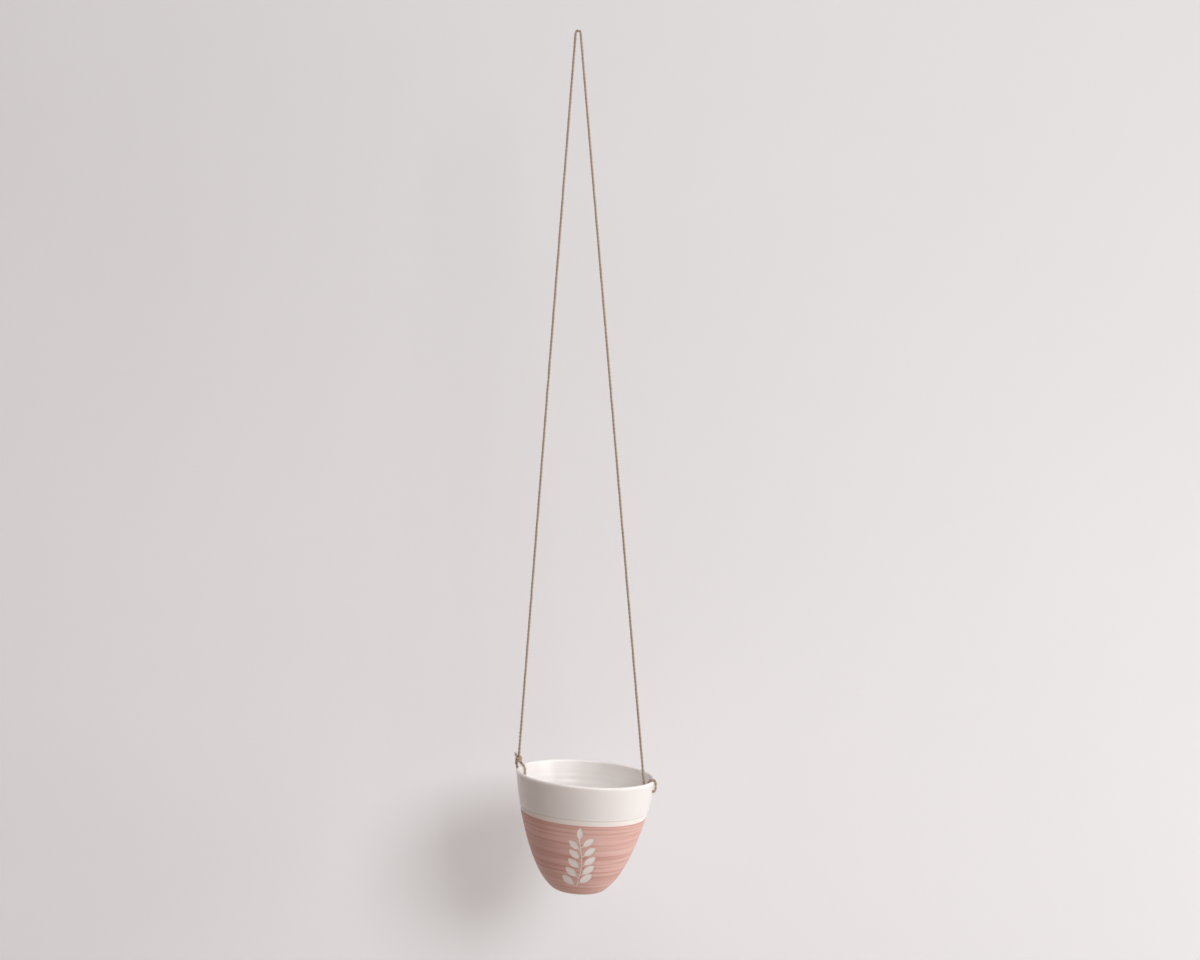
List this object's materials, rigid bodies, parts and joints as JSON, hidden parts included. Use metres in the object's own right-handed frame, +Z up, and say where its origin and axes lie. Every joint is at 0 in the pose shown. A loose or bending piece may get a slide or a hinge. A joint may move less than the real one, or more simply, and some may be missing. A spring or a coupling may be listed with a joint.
{
  "type": "hanging planter",
  "caption": "Small round porcelain cup planter with a white glazed rim band and a pink slip band below, hung by one thin hemp cord tied through holes under the rim.",
  "frame": {"origin": "middle of the cord's bend over its hook, where the planter hangs", "axes": "+Z up, +Y away from a person who looks at the sprig, +X to their right"},
  "size_m": [0.1149, 0.1117, 0.69],
  "materials": {
    "glazed_porcelain": "satin clear glaze over thrown white porcelain",
    "coloured_slip": "matte coral pink slip, brushed on the turning cup",
    "hemp_cord": "natural two-ply hemp twine"
  },
  "bodies": {
    "hook_bend": {"cord_bight": "hemp_cord"},
    "sling": {"cord_left_leg": "hemp_cord", "cord_right_leg": "hemp_cord"},
    "cup": {"cup": "glazed_porcelain", "slip_band": "coloured_slip", "left_knot": "hemp_cord", "right_knot": "hemp_cord", "left_rim_loop": "hemp_cord", "right_rim_loop": "hemp_cord", "left_tail": "hemp_cord", "right_tail": "hemp_cord"}
  },
  "joints": [
    {"name": "side_swing", "type": "hinge", "parent": "hook_bend", "child": "sling", "pos_m": [0, 0, 0], "axis": [0.2419, 0.9703, 0], "range_deg": [-20, 20], "deforming": ["cord_bight"]},
    {"name": "cup_rock", "type": "hinge", "parent": "sling", "child": "cup", "pos_m": [-0.00074, 0.00018, -0.58932], "axis": [0.9547, -0.238, -0.1787], "range_deg": [-45, 45]}
  ]
}
